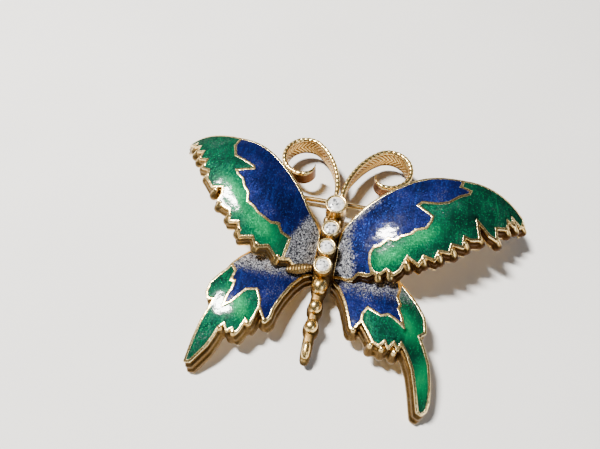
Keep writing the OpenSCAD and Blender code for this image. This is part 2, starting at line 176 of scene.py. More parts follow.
def metal(name, bright, middle, dark, rough=(0.2, 0.42), grain=0.4, cast=0.5, wing=False):
    """Plated metal: pale on worn edges, toned on the flats, and darkened by painted shade and soil in the
    recesses.
    """
    material, n, shader = new_material(name)
    place = n.place()
    broad = n.noise(place, 0.5, 3.0)
    fine = n.noise(place, 6.0, 3.0, 0.6)
    edge = n.ramp(n.add("ShaderNodeNewGeometry").outputs["Pointiness"], 0.47, 0.56)
    worn = n.math("ADD", edge, n.math("MULTIPLY", n.math("SUBTRACT", broad, 0.5), 0.7), clamp=True)
    # painted shade and soil: each piece's marks mix it towards the dark tone in recesses and undersides
    soil_and_shade = wall_soil_and_shade(n) if wing else n.attribute("soil_and_shade")
    soil_and_shade = n.math("ADD", soil_and_shade, n.math("MULTIPLY", n.math("SUBTRACT", fine, 0.5), 0.35))
    soil_and_shade = n.ramp(soil_and_shade, 0.12, 0.95)
    tone = n.mix(worn, middle, bright)
    n.join(n.mix(soil_and_shade, tone, dark), shader.inputs["Base Color"])
    roughness = n.math("MULTIPLY_ADD", fine, rough[1] - rough[0], rough[0])
    roughness = n.math("MULTIPLY_ADD", soil_and_shade, 0.2, roughness)
    n.join(roughness, shader.inputs["Roughness"])
    shader.inputs["Metallic"].default_value = 1.0
    lumps = n.noise(place, 1.6, 2.0)
    normal = n.bump(lumps, cast, 0.00012)
    normal = n.bump(fine, grain, 0.00002, normal)
    n.join(normal, shader.inputs["Normal"])
    return material


# Direction along a forewing, in plan and with x as distance from the midline
ALONG_FOREWING = (0.64, 0.77)
# How far along it from the head stone each forewing is flattest
FLATTEST_LEFT = 6.45
FLATTEST_RIGHT = 2.95


def wing_flatness(n, place):
    """Height in millimetres that makes a forewing's gloss as flat lengthwise as a long wing's."""
    split = n.add("ShaderNodeSeparateXYZ")
    n.join(place, split.inputs[0])
    out = n.math("MULTIPLY", n.math("ABSOLUTE", split.outputs[0]), ALONG_FOREWING[0])
    along = n.math("MULTIPLY_ADD", split.outputs[1], ALONG_FOREWING[1], out)
    mean = 0.5 * (FLATTEST_RIGHT + FLATTEST_LEFT) + ALONG_FOREWING[1] * HEAD[1]
    half = 0.5 * (FLATTEST_RIGHT - FLATTEST_LEFT)
    middle = n.math("MULTIPLY_ADD", n.math("SIGN", split.outputs[0]), half, mean)
    away = n.math("SUBTRACT", along, middle)
    return n.math("MULTIPLY", n.math("MULTIPLY", away, away), n.attribute("flatter"))


def glass_tone(n, place, cloud, chance, deep, middle, light):
    """Colour of the glass: cloudy and streaked, paler in patches of painted sheen and in painted glints,
    dark along the rims.
    """
    stretched = n.add("ShaderNodeMapping")
    stretched.inputs["Rotation"].default_value = (0.0, 0.0, 0.6)
    stretched.inputs["Scale"].default_value = (2.6, 0.3, 1.0)
    n.join(place, stretched.inputs["Vector"])
    streak = n.ramp(n.noise(stretched.outputs[0], 0.9, 3.0, 0.6), 0.52, 0.8)
    # painted glints: random grains are made paler, as if catching the light
    glint = n.ramp(chance, 0.88, 1.0)
    tone = n.mix(cloud, deep, middle)
    tone = n.mix(n.math("MULTIPLY", streak, 0.25), tone, light)
    tone = n.mix(n.math("MULTIPLY", n.attribute("painted_sheen"), 0.5), tone, light)
    tone = n.mix(n.math("MULTIPLY", glint, 0.6), tone, light)
    rim = n.math("MULTIPLY", n.attribute("edge"), 0.85)
    return n.mix(rim, tone, tuple(0.15 * c for c in deep))


def glitter_tone(n, place):
    """Silver specks on a nearly black base."""
    _, chance = n.cells(place, 9.5)
    speck = n.ramp(chance[1], 0.42, 1.0)
    return n.mix(speck, (0.006, 0.007, 0.011), (0.42, 0.43, 0.46))


def grain_normal(n, colour, shape):
    """Normal of a sparkling base, where each grain faces its own way."""
    tilt = n.add("ShaderNodeVectorMath", operation="SUBTRACT")
    tilt.inputs[1].default_value = (0.5, 0.5, 0.5)
    n.join(colour, tilt.inputs[0])
    lean = n.add("ShaderNodeVectorMath", operation="ADD")
    n.join(shape, lean.inputs[0])
    n.join(n.scaled(tilt.outputs[0], 0.38), lean.inputs[1])
    unit = n.add("ShaderNodeVectorMath", operation="NORMALIZE")
    n.join(lean.outputs[0], unit.inputs[0])
    return unit.outputs[0]


def enamel(name, deep, middle, light, edge_tint):
    """Clear glass enamel over a sparkling base, turning to silver glitter beside the body."""
    material, n, shader = new_material(name)
    place = n.place()
    colour, chance = n.cells(place, 9.0)
    cloud = n.ramp(n.noise(place, 0.22, 3.0, 0.55), 0.3, 0.72)
    tone = glass_tone(n, place, cloud, chance[0], deep, middle, light)
    uneven = n.math("SUBTRACT", n.math("ADD", cloud, chance[2]), 1.0)
    fade = n.ramp(n.math("MULTIPLY_ADD", uneven, 0.4, n.attribute("silver")), 0.15, 0.85)
    n.join(n.mix(fade, tone, glitter_tone(n, place)), shader.inputs["Base Color"])
    n.join(n.math("MULTIPLY_ADD", chance[2], 0.12, 0.36), shader.inputs["Roughness"])
    shader.inputs["Metallic"].default_value = 0.32
    shader.inputs["Specular IOR Level"].default_value = 0.1
    shader.inputs["Specular Tint"].default_value = (*edge_tint, 1.0)
    shape = n.bump(wing_flatness(n, place), 1.0, 0.001)
    n.join(grain_normal(n, colour, shape), shader.inputs["Normal"])
    shader.inputs["Coat Weight"].default_value = 0.65
    shader.inputs["Coat Roughness"].default_value = 0.1
    shader.inputs["Coat IOR"].default_value = 1.45
    wave = n.noise(place, 0.5, 3.0)
    n.join(n.bump(wave, 0.35, 0.0002, shape), shader.inputs["Coat Normal"])
    return material


def cut_stone():
    """Bright cut glass drawn opaque: each facet's colour is a painted reflection, paler or darker, in place
    of the foil behind it.
    """
    material, n, shader = new_material("cut_stone")
    haze = n.math("MULTIPLY", n.math("SUBTRACT", n.noise(n.place(), 5.0, 3.0), 0.5), 0.5)
    tone = n.math("ADD", n.attribute("facet_reflection"), haze, clamp=True)
    n.join(n.mix(tone, (0.06, 0.065, 0.075), (1.0, 1.0, 1.0)), shader.inputs["Base Color"])
    n.join(n.math("MULTIPLY_ADD", tone, 0.15, 0.08), shader.inputs["Roughness"])
    shader.inputs["Metallic"].default_value = 0.25
    shader.inputs["Coat Weight"].default_value = 1.0
    shader.inputs["Coat Roughness"].default_value = 0.02
    shader.inputs["Coat IOR"].default_value = 1.55
    return material


def floor_material():
    """Plain pale matt ground with a hardly visible cloudiness."""
    material, n, shader = new_material("floor")
    tone = n.ramp(n.noise(n.place(), 0.02, 4.0), 0.3, 0.7)
    n.join(n.mix(tone, (0.74, 0.73, 0.71), (0.78, 0.77, 0.75)), shader.inputs["Base Color"])
    shader.inputs["Roughness"].default_value = 0.85
    return material


# the third of each metal's tones is the dark of its painted shade and soil
GOLD_TONES = ((1.0, 0.82, 0.42), (0.84, 0.48, 0.1), (0.06, 0.026, 0.007))
GOLD = metal("gold", *GOLD_TONES, rough=(0.15, 0.36))
WING_GOLD = metal("wing_gold", *GOLD_TONES, rough=(0.15, 0.36), wing=True)
ANTENNA_GOLD = metal("antenna_gold", (1.0, 0.82, 0.36), (0.8, 0.36, 0.04), (0.13, 0.04, 0.006),
                     rough=(0.15, 0.34), cast=0.3)
WIRE = metal("pin_wire", (1.0, 0.8, 0.44), (0.82, 0.54, 0.2), (0.2, 0.1, 0.03), rough=(0.15, 0.3), cast=0.1)
FITTING = metal("fitting", (0.95, 0.7, 0.34), (0.72, 0.44, 0.15), (0.12, 0.06, 0.022), cast=0.15)
BLUE = enamel("blue_enamel", (0.001, 0.002, 0.02), (0.003, 0.005, 0.052), (0.012, 0.05, 0.3),
              (0.25, 0.3, 0.6))
GREEN = enamel("green_enamel", (0.001, 0.013, 0.009), (0.0015, 0.04, 0.022), (0.002, 0.26, 0.08),
               (0.05, 0.5, 0.3))
STONE = cut_stone()


# ---------------------------------------------------------------- mesh tools

def mounted(name, mesh, body, nodes):
    """The mesh as an object that rides on a body in place of its CAD nodes."""
    piece = bpy.data.objects.new(name, mesh)
    bpy.context.scene.collection.objects.link(piece)
    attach(piece, body)
    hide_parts(*nodes)
    return piece


def make_piece(name, points, faces, material, body, node, smooth=True):
    """A piece from points in millimetres from the head stone."""
    points = np.asarray(points, float) + HEAD
    mesh = bpy.data.meshes.new(name)
    mesh.from_pydata((points * MM).tolist(), [], [list(map(int, f)) for f in faces])
    mesh.validate()
    mesh.polygons.foreach_set("use_smooth", [smooth] * len(mesh.polygons))
    mesh.materials.append(material)
    return mounted(name, mesh, body, [node])


def face_outwards(mesh):
    """Turns every face of a closed mesh so that its normal points out."""
    work = bmesh.new()
    work.from_mesh(mesh)
    bmesh.ops.recalc_face_normals(work, faces=work.faces)
    work.to_mesh(mesh)
    work.free()


def set_attribute(mesh, name, values):
    """One number for each point, which a material reads by name."""
    layer = mesh.attributes.new(name, "FLOAT", "POINT")
    layer.data.foreach_set("value", np.asarray(values, np.float32))


def smoothstep(x, low, high):
    """0 below low, 1 above high, smooth between."""
    t = np.clip((np.asarray(x, float) - low) / (high - low), 0.0, 1.0)
    return t * t * (3.0 - 2.0 * t)


def relax(points, edges, weight, passes):
    """Moves each point towards the middle of its neighbours."""
    count = np.bincount(edges.ravel(), minlength=len(points))
    count = np.maximum(count, 1)[:, None]
    for _ in range(passes):
        total = np.stack([
            np.bincount(edges[:, 0], points[edges[:, 1], k], len(points))
            + np.bincount(edges[:, 1], points[edges[:, 0], k], len(points))
            for k in range(3)
        ], axis=1)
        points = points + weight[:, None] * (total / count - points)
    return points


def mesh_arrays(mesh):
    """Points and edges of a mesh as arrays."""
    points = np.zeros(len(mesh.vertices) * 3)
    mesh.vertices.foreach_get("co", points)
    edges = np.zeros(len(mesh.edges) * 2, int)
    mesh.edges.foreach_get("vertices", edges)
    return points.reshape(-1, 3), edges.reshape(-1, 2)


def normals_of(mesh, points):
    """Unit normal at each point of the mesh once its points are moved."""
    mesh.vertices.foreach_set("co", points.ravel())
    mesh.update()
    normals = np.zeros(len(points) * 3)
    mesh.vertex_normals.foreach_get("vector", normals)
    return normals.reshape(-1, 3)


def with_modifier(mesh, kind, **values):
    """A copy of mesh with one modifier applied."""
    holder = bpy.data.objects.new("holder", mesh)
    bpy.context.scene.collection.objects.link(holder)
    modifier = holder.modifiers.new("change", kind)
    for key, value in values.items():
        setattr(modifier, key, value)
    graph = bpy.context.evaluated_depsgraph_get()
    made = bpy.data.meshes.new_from_object(holder.evaluated_get(graph))
    bpy.data.objects.remove(holder)
    return made


def fused(points, faces, voxel):
    """One closed skin round overlapping shells, as points in millimetres and faces."""
    raw = bpy.data.meshes.new("raw")
    raw.from_pydata(np.asarray(points, float).tolist(), [], [list(map(int, f)) for f in faces])
    return with_modifier(raw, "REMESH", mode="VOXEL", voxel_size=voxel, adaptivity=0.0)


def node_shell(node):
    """Points in millimetres from the head stone, and faces, of a CAD node."""
    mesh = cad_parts[node].data
    points, _ = mesh_arrays(mesh)
    return points / MM - HEAD, [tuple(p.vertices) for p in mesh.polygons]


def finish_cast(name, mesh, points, material, body, nodes, marks, keep):
    """A piece from a fused mesh and its moved points, with the given share of its faces kept."""
    mesh.vertices.foreach_set("co", points.ravel())
    mesh.update()
    for mark, values in marks.items():
        set_attribute(mesh, mark, values)
    if keep < 1.0:
        mesh = with_modifier(mesh, "DECIMATE", ratio=keep, use_collapse_triangulate=True)
    points, _ = mesh_arrays(mesh)
    mesh.vertices.foreach_set("co", ((points + HEAD) * MM).ravel())
    mesh.name = name
    mesh.polygons.foreach_set("use_smooth", [True] * len(mesh.polygons))
    mesh.materials.clear()
    mesh.materials.append(material)
    mesh.update()
    return mounted(name, mesh, body, nodes)


# ---------------------------------------------------------------- wing castings

# Where each lobe of the side wall reaches its lower edge, as distance from the
# midline and distance in front of the head stone
FORE_LOBES_LEFT = (
    (27.3, 7.2), (26.0, 5.2), (24.5, 3.3), (22.9, 1.6), (21.5, -0.6), (19.3, -3.2),
    (17.9, -5.2), (15.9, -6.9), (13.9, -8.6), (10.9, -10.0), (7.6, -10.8))
FORE_LOBES_RIGHT = (
    (29.2, 2.4), (27.6, 1.4), (26.2, 0.1), (24.7, -2.3), (22.0, -3.0), (20.0, -4.5),
    (18.4, -6.0), (16.6, -7.1), (14.5, -8.0), (12.4, -8.9), (10.2, -10.3), (8.6, -10.6))
HIND_LOBES_LEFT = ((12.6, -23.0), (10.6, -23.3), (8.9, -21.6), (6.7, -20.6))
HIND_LOBES_RIGHT = ((12.0, -21.2), (10.3, -21.1), (8.7, -20.9), (6.1, -19.2))
# Direction in plan in which the side walls flare, on the right wings
FORE_OUT = (0.6, -0.8)
HIND_OUT = (-0.1, -1.0)
FORE_WALL_H = 1.7
HIND_WALL_H = 2.3
# Smoothing passes that round the walls, for a mesh with 0.1 mm between its points
FORE_SOFTENING = 6
HIND_SOFTENING = 20
# How dark the walls are in their recesses, as painted shade and grime; the right wings, on the side away
# from the key light, get more
FORE_GRIME_AND_SHADE_LEFT = 0.75
FORE_GRIME_AND_SHADE_RIGHT = 0.95
HIND_GRIME_AND_SHADE = 0.8
LOBE_R = 0.78
WING_VOXEL = 0.07


def lobe_shells(side, lobe, out, radius, centre, depth):
    """Balls that form a drop, swelling from the rim down to the lower edge of a side wall."""
    top = np.array(lobe) - 0.85 * np.array(out)
    low = np.array(lobe) - 0.2 * np.array(out)
    shells = []
    for t in np.linspace(0.0, 1.0, 6):
        x, y = top + (low - top) * t
        drop = 0.3 + (depth - 0.3) * t
        rim_z = centre[2] + math.sqrt(radius ** 2 - (x - centre[0]) ** 2 - (y - centre[1]) ** 2)
        r = (0.5 + 0.5 * t) * LOBE_R
        shells.append(ellipsoid((side * x, y, rim_z - drop), (r, r, r), 16))
    return shells


def wing_casting(name, side, radius, centre, wall_h, softening, grime_and_shade, lobes, out):
    """Casting with rounded rims, a flared and lobed side wall and a soft hollow back."""
    shells = [node_shell(name)]
    for lobe in lobes:
        shells += lobe_shells(side, lobe, out, radius, centre, wall_h - 0.5)
    points, faces = joined(shells)
    mesh = fused(points, faces, WING_VOXEL)
    points, edges = mesh_arrays(mesh)
    middle = np.array([centre[0] * side, centre[1], centre[2]])
    depth = radius - np.linalg.norm(points - middle, axis=1)
    weight = 0.5 * smoothstep(depth, 0.35, 0.9)
    # a finer mesh needs more passes for the same softness
    points = relax(points, edges, weight, round(softening * (0.1 / WING_VOXEL) ** 2))
    points = relax(points, edges, np.full(len(points), 0.35), 4)
    depth = radius - np.linalg.norm(points - middle, axis=1)
    # walls that face forward, along the plain leading edge, get less of this painted shade and grime than
    # the lobed trailing ones
    normals = normals_of(mesh, points)
    marks = {
        "below_rim": depth,
        "above_foot": wall_h - depth,
        "grime_and_shade": grime_and_shade * (1.0 - 0.55 * smoothstep(normals[:, 1], 0.0, 0.6)),
        "back": smoothstep(-normals[:, 2], 0.3, 0.7),
    }
    return finish_cast(name + "_casting", mesh, points, WING_GOLD, "brooch", [name], marks, 0.3)


def build_wings():
    for side, word in ((-1, "left"), (1, "right")):
        fore_lobes = FORE_LOBES_LEFT if side < 0 else FORE_LOBES_RIGHT
        fore_grime_and_shade = FORE_GRIME_AND_SHADE_LEFT if side < 0 else FORE_GRIME_AND_SHADE_RIGHT
        hind_lobes = HIND_LOBES_LEFT if side < 0 else HIND_LOBES_RIGHT
        wing_casting("forewing_" + word, side, FORE_R, FORE_CENTRE, FORE_WALL_H,
                     FORE_SOFTENING, fore_grime_and_shade, fore_lobes, FORE_OUT)
        wing_casting("hindwing_" + word, side, HIND_R, HIND_CENTRE, HIND_WALL_H,
                     HIND_SOFTENING, HIND_GRIME_AND_SHADE, hind_lobes, HIND_OUT)


# ---------------------------------------------------------------- enamel

# How far the glass reaches under the rims, past the outline of its CAD piece
ENAMEL_OVERLAP = 0.14
ENAMEL_DEPTH = 0.3
# Distances between the points of an enamel piece
OUTLINE_STEP = 0.22
EDGE_ROWS = (0.09, 0.2, 0.36)
GRID_STEP = 0.45
# How much the forewings' gloss is flattened
FOREWING_FLATTER = 0.012


def border_edges(faces):
    """Directed edges that have no partner running the other way."""
    used = {}
    for face in faces:
        for a, b in zip(face, face[1:] + face[:1]):
            if a != b:
                used[(a, b)] = True
    return [(a, b) for a, b in used if (b, a) not in used]


def loops_of(edges):
    """The directed edges joined end to end into closed loops."""
    after = {}
    for a, b in edges:
        after.setdefault(a, []).append(b)
    loops = []
    while after:
        start = next(iter(after))
        loop = [start]
        while after.get(loop[-1]):
            nexts = after[loop[-1]]
            step = nexts.pop()
            if not nexts:
                del after[loop[-1]]
            if step == start:
                break
            loop.append(step)
        loops.append(loop)
    return loops


def top_loop(node, middle, radius):
    """Outline of the top face of a CAD enamel piece, as points in plan."""
    points, faces = node_shell(node)
    # corners that lie at the same place count as one
    keys = {}
    index = [keys.setdefault(tuple(p), len(keys)) for p in np.round(points, 3)]
    place = np.array(list(keys))
    on_top = np.abs(np.linalg.norm(place - middle, axis=1) - radius) < 0.02
    rings = [[index[v] for v in face] for face in faces]
    top = [ring for ring in rings if all(on_top[v] for v in ring)]
    loops = [place[loop][:, :2] for loop in loops_of(border_edges(top))]
    return max(loops, key=lambda loop: abs(area_of(loop)))


def area_of(loop):
    """Area inside the loop, negative if it runs clockwise."""
    x, y = loop[:, 0], loop[:, 1]
    return 0.5 * float(np.sum(x * np.roll(y, -1) - np.roll(x, -1) * y))


def resampled(loop, step):
    """The loop with points at most step apart and its corners kept."""
    made = []
    for a, b in zip(loop, np.roll(loop, -1, axis=0)):
        length = float(np.linalg.norm(b - a))
        if length < 0.02:
            continue
        parts = max(1, math.ceil(length / step))
        made += [a + (b - a) * i / parts for i in range(parts)]
    return np.array(made)


def distance_to(loop, points):
    """Distance of each point from the loop."""
    a, b = loop, np.roll(loop, -1, axis=0)
    best = np.full(len(points), 1e9)
    for p, q in zip(a, b):
        d = q - p
        t = np.clip(((points - p) @ d) / (d @ d), 0.0, 1.0)
        best = np.minimum(best, np.linalg.norm(points - p - t[:, None] * d, axis=1))
    return best


def inside(loop, points):
    """Whether each point lies inside the loop."""
    result = np.zeros(len(points), bool)
    x, y = points[:, 0], points[:, 1]
    for (x0, y0), (x1, y1) in zip(loop, np.roll(loop, -1, axis=0)):
        if y0 == y1:
            continue
        crosses = ((y0 > y) != (y1 > y)) & (x < (x1 - x0) * (y - y0) / (y1 - y0) + x0)
        result ^= crosses
    return result


def inward(loop):
    """Unit direction into a loop that runs anticlockwise, at each of its points."""
    along = np.roll(loop, -1, axis=0) - np.roll(loop, 1, axis=0)
    along /= np.maximum(np.linalg.norm(along, axis=1), 1e-9)[:, None]
    return np.stack([-along[:, 1], along[:, 0]], axis=1)


def fill_points(loop):
    """Points inside the loop: rows that follow the edge closely, then an even grid."""
    normal = inward(loop)
    rows = []
    for inset in EDGE_ROWS:
        row = loop + inset * normal
        keep = inside(loop, row) & (distance_to(loop, row) > 0.93 * inset)
        rows.append(row[keep])
    low, high = loop.min(0), loop.max(0)
    # every second row of the grid is shifted by half a step
    row_gap = GRID_STEP * 0.87
    grid = np.array([
        (low[0] + GRID_STEP * (i + 0.5 * (j % 2)), low[1] + row_gap * j)
        for j in range(int((high[1] - low[1]) / row_gap) + 1)
        for i in range(int((high[0] - low[0]) / GRID_STEP) + 1)])
    keep = inside(loop, grid) & (distance_to(loop, grid) > 0.5)
    rows.append(grid[keep])
    return np.concatenate(rows)


def enamel_piece(node, side, radius, centre, material, slot, silver, painted_sheen):
    """Thin closed glass body whose top creeps up a little at the rims."""
    middle = np.array([centre[0] * side, centre[1], centre[2]])
    loop = resampled(top_loop(node, middle, radius - ENAMEL_DROP), OUTLINE_STEP)
    if area_of(loop) < 0:
        loop = loop[::-1]
    loop = loop - ENAMEL_OVERLAP * inward(loop)
    seeds = np.concatenate([loop, fill_points(loop)])
    ring = [(i, (i + 1) % len(loop)) for i in range(len(loop))]
    made = geometry.delaunay_2d_cdt([Vector(p) for p in seeds], ring, [], 1, 1e-6)
    plan = np.array([tuple(v) for v in made[0]])
    away = distance_to(loop, plan)
    rise = 0.03 * np.exp(-away / 0.1) + 0.03 + 0.04 * smoothstep(away, 0.1, 1.4)
    waves = np.array([noise.noise(Vector((x * 0.35, y * 0.35, 3.0 * side))) for x, y in plan])
    reach = radius - ENAMEL_DROP + rise + 0.02 * waves
    flat = plan - middle[:2]
    height = middle[2] + np.sqrt(reach ** 2 - (flat ** 2).sum(1))
    top = np.column_stack([plan, height])
    low = top - np.array([0.0, 0.0, ENAMEL_DEPTH])
    faces = [list(f) for f in made[2]]
    count = len(top)
    sides = [[b, a, a + count, b + count] for a, b in border_edges(faces)]
    under = [[v + count for v in reversed(f)] for f in faces]
    points = np.concatenate([top, low])
    piece = make_piece(node + "_glass", points, faces + sides + under, material, "brooch", node)
    out = np.abs(plan[:, 0])
    flatter = FOREWING_FLATTER if radius == FORE_R else 0.0
    set_attribute(piece.data, "edge", np.tile(np.exp(-away / 0.09), 2))
    set_attribute(piece.data, "silver", np.tile(silver(out, plan[:, 1]), 2))
    set_attribute(piece.data, "painted_sheen", np.tile(painted_sheen(out, plan[:, 1]), 2))
    set_attribute(piece.data, "flatter", np.full(2 * count, flatter))
    return piece


# The functions below take x as distance from the midline and y as distance in front of
# the head stone. They give how silvery the enamel is at each place, or how much painted sheen it gets.

def left_root_silver(x, y):
    """Silver inside the slanting line from the leading edge to the end of the divider."""
    return smoothstep(-0.88 * (x - 3.4) - 0.47 * (y + 2.5), -1.0, 1.0)


def right_root_silver(x, y):
    """A wide patch at the thorax that narrows along the leading edge."""
    patch = smoothstep(-x - 0.25 * (y + 6.0), -5.0, -2.4)
    strip = smoothstep(y - 0.75 * x, -5.6, -4.0) * smoothstep(-x, -9.0, -5.0)
    return 0.85 * np.maximum(patch, 0.9 * strip)


def left_hind_silver(x, y):
    """A band along the front edge of the left hindwing."""
    return 0.85 * smoothstep(y + 0.12 * (x - 6.0), -13.6, -10.6)


def right_hind_silver(x, y):
    """A fainter and wider band on the right hindwing; its faintness is painted shade under the forewing."""
    return 0.55 * smoothstep(y + 0.12 * (x - 6.0), -14.5, -10.6)


def green_silver(x, y):
    """The front corner of the right hindwing's green enamel, kept faint as painted shade."""
    return 0.5 * smoothstep(y, -15.5, -11.5)


def nowhere(x, y):
    """0 at every place."""
    return np.zeros(len(x))


def patches(places, spread):
    """Function that is 1 at each of the places and falls away over the spread.

    A place is x, y and the direction in which its patch is drawn out.
    """
    def value(x, y):
        total = np.zeros(len(x))
        for px, py, turn in places:
            along = (x - px) * math.cos(turn) + (y - py) * math.sin(turn)
            across = (y - py) * math.cos(turn) - (x - px) * math.sin(turn)
            near = np.exp(-(along / (2.2 * spread)) ** 2 - (across / spread) ** 2)
            total = np.maximum(total, near)
        return total
    return value


# Painted sheen: pale patches on the glass that stand in for pools of light
SHEEN_FORE_LEFT = patches(((10.5, -6.6, 0.6), (15.5, -3.0, 0.8)), 1.5)
SHEEN_FORE_RIGHT = patches(((9.6, -7.4, 0.5), (13.2, -4.3, 0.6)), 1.2)
SHEEN_HIND_LEFT = patches(((10.8, -18.6, 0.9),), 1.2)
SHEEN_HIND_RIGHT = patches(((13.5, -16.5, -0.9), (16.2, -23.0, 1.4)), 1.2)


def build_enamel():
    for side, word in ((-1, "left"), (1, "right")):
        fore = (side, FORE_R, FORE_CENTRE)
        hind = (side, HIND_R, HIND_CENTRE)
        root_silver = left_root_silver if side < 0 else right_root_silver
        hind_silver = left_hind_silver if side < 0 else right_hind_silver
        tail_silver = nowhere if side < 0 else green_silver
        fore_sheen = SHEEN_FORE_LEFT if side < 0 else SHEEN_FORE_RIGHT
        hind_sheen = SHEEN_HIND_LEFT if side < 0 else SHEEN_HIND_RIGHT
        enamel_piece("forewing_blue_" + word, *fore, BLUE, "blue_enamel", root_silver, nowhere)
        enamel_piece("forewing_green_" + word, *fore, GREEN, "green_enamel", nowhere, fore_sheen)
        enamel_piece("hindwing_blue_" + word, *hind, BLUE, "blue_enamel", hind_silver, nowhere)
        enamel_piece("hindwing_green_" + word, *hind, GREEN, "green_enamel", tail_silver, hind_sheen)


# ---------------------------------------------------------------- turned shapes

def lathe(profile, centre, steps=48, axis="z"):
    """Turned closed solid; profile is (radius, height) from the axis and back to it."""
    points = []
    rings = []
    for r, h in profile:
        if r < 1e-6:
            rings.append([len(points)])
            points.append((0.0, 0.0, h))
            continue
        rings.append(list(range(len(points), len(points) + steps)))
        for k in range(steps):
            a = math.tau * k / steps
            points.append((r * math.cos(a), r * math.sin(a), h))
    faces = []
    for low, high in zip(rings, rings[1:]):
        for k in range(steps):
            j = (k + 1) % steps
            if len(low) == 1:
                faces.append((low[0], high[j], high[k]))
            elif len(high) == 1:
                faces.append((low[k], low[j], high[0]))
            else:
                faces.append((low[k], low[j], high[j], high[k]))
    points = np.array(points)
    if axis == "x":
        points = points[:, [2, 0, 1]]
    return points + np.array(centre), faces


def joined(shells):
    """Several shells as one list of points and faces."""
    points, faces, start = [], [], 0
    for p, f in shells:
        points.append(np.asarray(p, float))
        faces += [tuple(v + start for v in face) for face in f]
        start += len(p)
    return np.concatenate(points), faces


def ellipsoid(centre, radii, steps=32):
    """Closed ellipsoid with its poles on the z axis."""
    rows = 16
    turns = [math.pi * i / rows for i in range(1, rows)]
    ball = [(0.0, -1.0)] + [(math.sin(a), -math.cos(a)) for a in turns] + [(0.0, 1.0)]
    points, faces = lathe(ball, (0, 0, 0), steps)
    return points * np.array(radii) + np.array(centre), faces


def tube_of_sections(sections):
    """Closed solid through rings of equal length, capped at both ends."""
    count = len(sections[0])
    points = np.concatenate(sections)
    faces = []
    for s in range(len(sections) - 1):
        for k in range(count):
            a, b = s * count + k, s * count + (k + 1) % count
            faces.append((a, b, b + count, a + count))
    faces.append(tuple(range(count - 1, -1, -1)))
    faces.append(tuple(range(len(points) - count, len(points))))
    return points, faces


def rounded_section(y, half_w, low, high, power=3.2, steps=32):
    """Ring across the body at y, between an ellipse (power 2) and a rectangle."""
    mid, half = 0.5 * (low + high), 0.5 * (high - low)
    ring = []
    for k in range(steps):
        a = 2.0 * math.pi * k / steps
        c, s = math.cos(a), math.sin(a)
        x = half_w * math.copysign(abs(c) ** (2.0 / power), c)
        z = half * math.copysign(abs(s) ** (2.0 / power), s)
        ring.append((x, y, mid + z))
    return np.array(ring)


# ---------------------------------------------------------------- thorax and stones

def cup_shell(i):
    """Cup of one stone, with a rounded rim and a blind bore."""
    r, top = CUP_R[i], STONE_Z[i]
    bore = r - CUP_WALL
    outside = [
        (0.0, 2.9), (r * 0.9, 3.0), (r - 0.03, 3.3), (r - 0.05, top - 0.7), (r, top - 0.3),
        (r + 0.04, top - 0.12)]
    rim = [(r, top + 0.02), (r - 0.14, top + 0.1), (r - 0.3, top + 0.06)]
    inside_wall = [(bore - 0.06, top - depth) for depth in (0.06, 0.3, 1.2)]
    profile = outside + rim + inside_wall + [(0.0, top - 1.2)]
    return lathe(profile, (0.0, STONE_Y[i], 0.0))


def build_thorax():
    block = tube_of_sections([
        rounded_section(0.8, 1.25, 3.1, 5.3), rounded_section(0.5, 1.45, 3.0, 5.4),
        rounded_section(-3.5, 1.5, 2.6, 5.2), rounded_section(-8.5, 1.5, 0.8, 5.0),
        rounded_section(-11.6, 1.45, 0.8, 4.7), rounded_section(-12.0, 1.25, 0.9, 4.6)])
    shells = [block] + [cup_shell(i) for i in range(len(STONE_NAMES))]
    # shoulders beside the head, and fillets between the cups
    for side in (-1, 1):
        shells.append(ellipsoid((1.1 * side, -1.9, 4.7), (0.6, 0.9, 0.8)))
    for y in (-2.35, -5.85, -8.9):
        shells.append(ellipsoid((0.0, y, 5.2), (0.9, 0.7, 0.8)))
    points, faces = joined(shells)
    mesh = fused(points, faces, 0.07)
    points, edges = mesh_arrays(mesh)
    points = relax(points, edges, np.full(len(points), 0.4), 3)
    # painted shade: dark low down between the cups, and in the cups under the stones
    soil_and_shade = 1.0 - smoothstep(points[:, 2], 5.0, 6.9)
    for y, z, r in zip(STONE_Y, STONE_Z, CUP_R):
        from_axis = np.hypot(points[:, 0], points[:, 1] - y)
        in_cup = (from_axis < r - 0.2) & (points[:, 2] < z - 0.35)
        soil_and_shade = np.where(in_cup, 0.9, soil_and_shade)
    marks = {"soil_and_shade": 0.8 * soil_and_shade}
    finish_cast("thorax_casting", mesh, points, GOLD, "brooch", ["thorax"], marks, 0.6)


def corners(count, radius, z, turn=0.0):
    """Corners of a level polygon round the z axis; turn is in corners."""
    turns = [math.tau * (k + turn) / count for k in range(count)]
    return [(radius * math.cos(a), radius * math.sin(a), z) for a in turns]


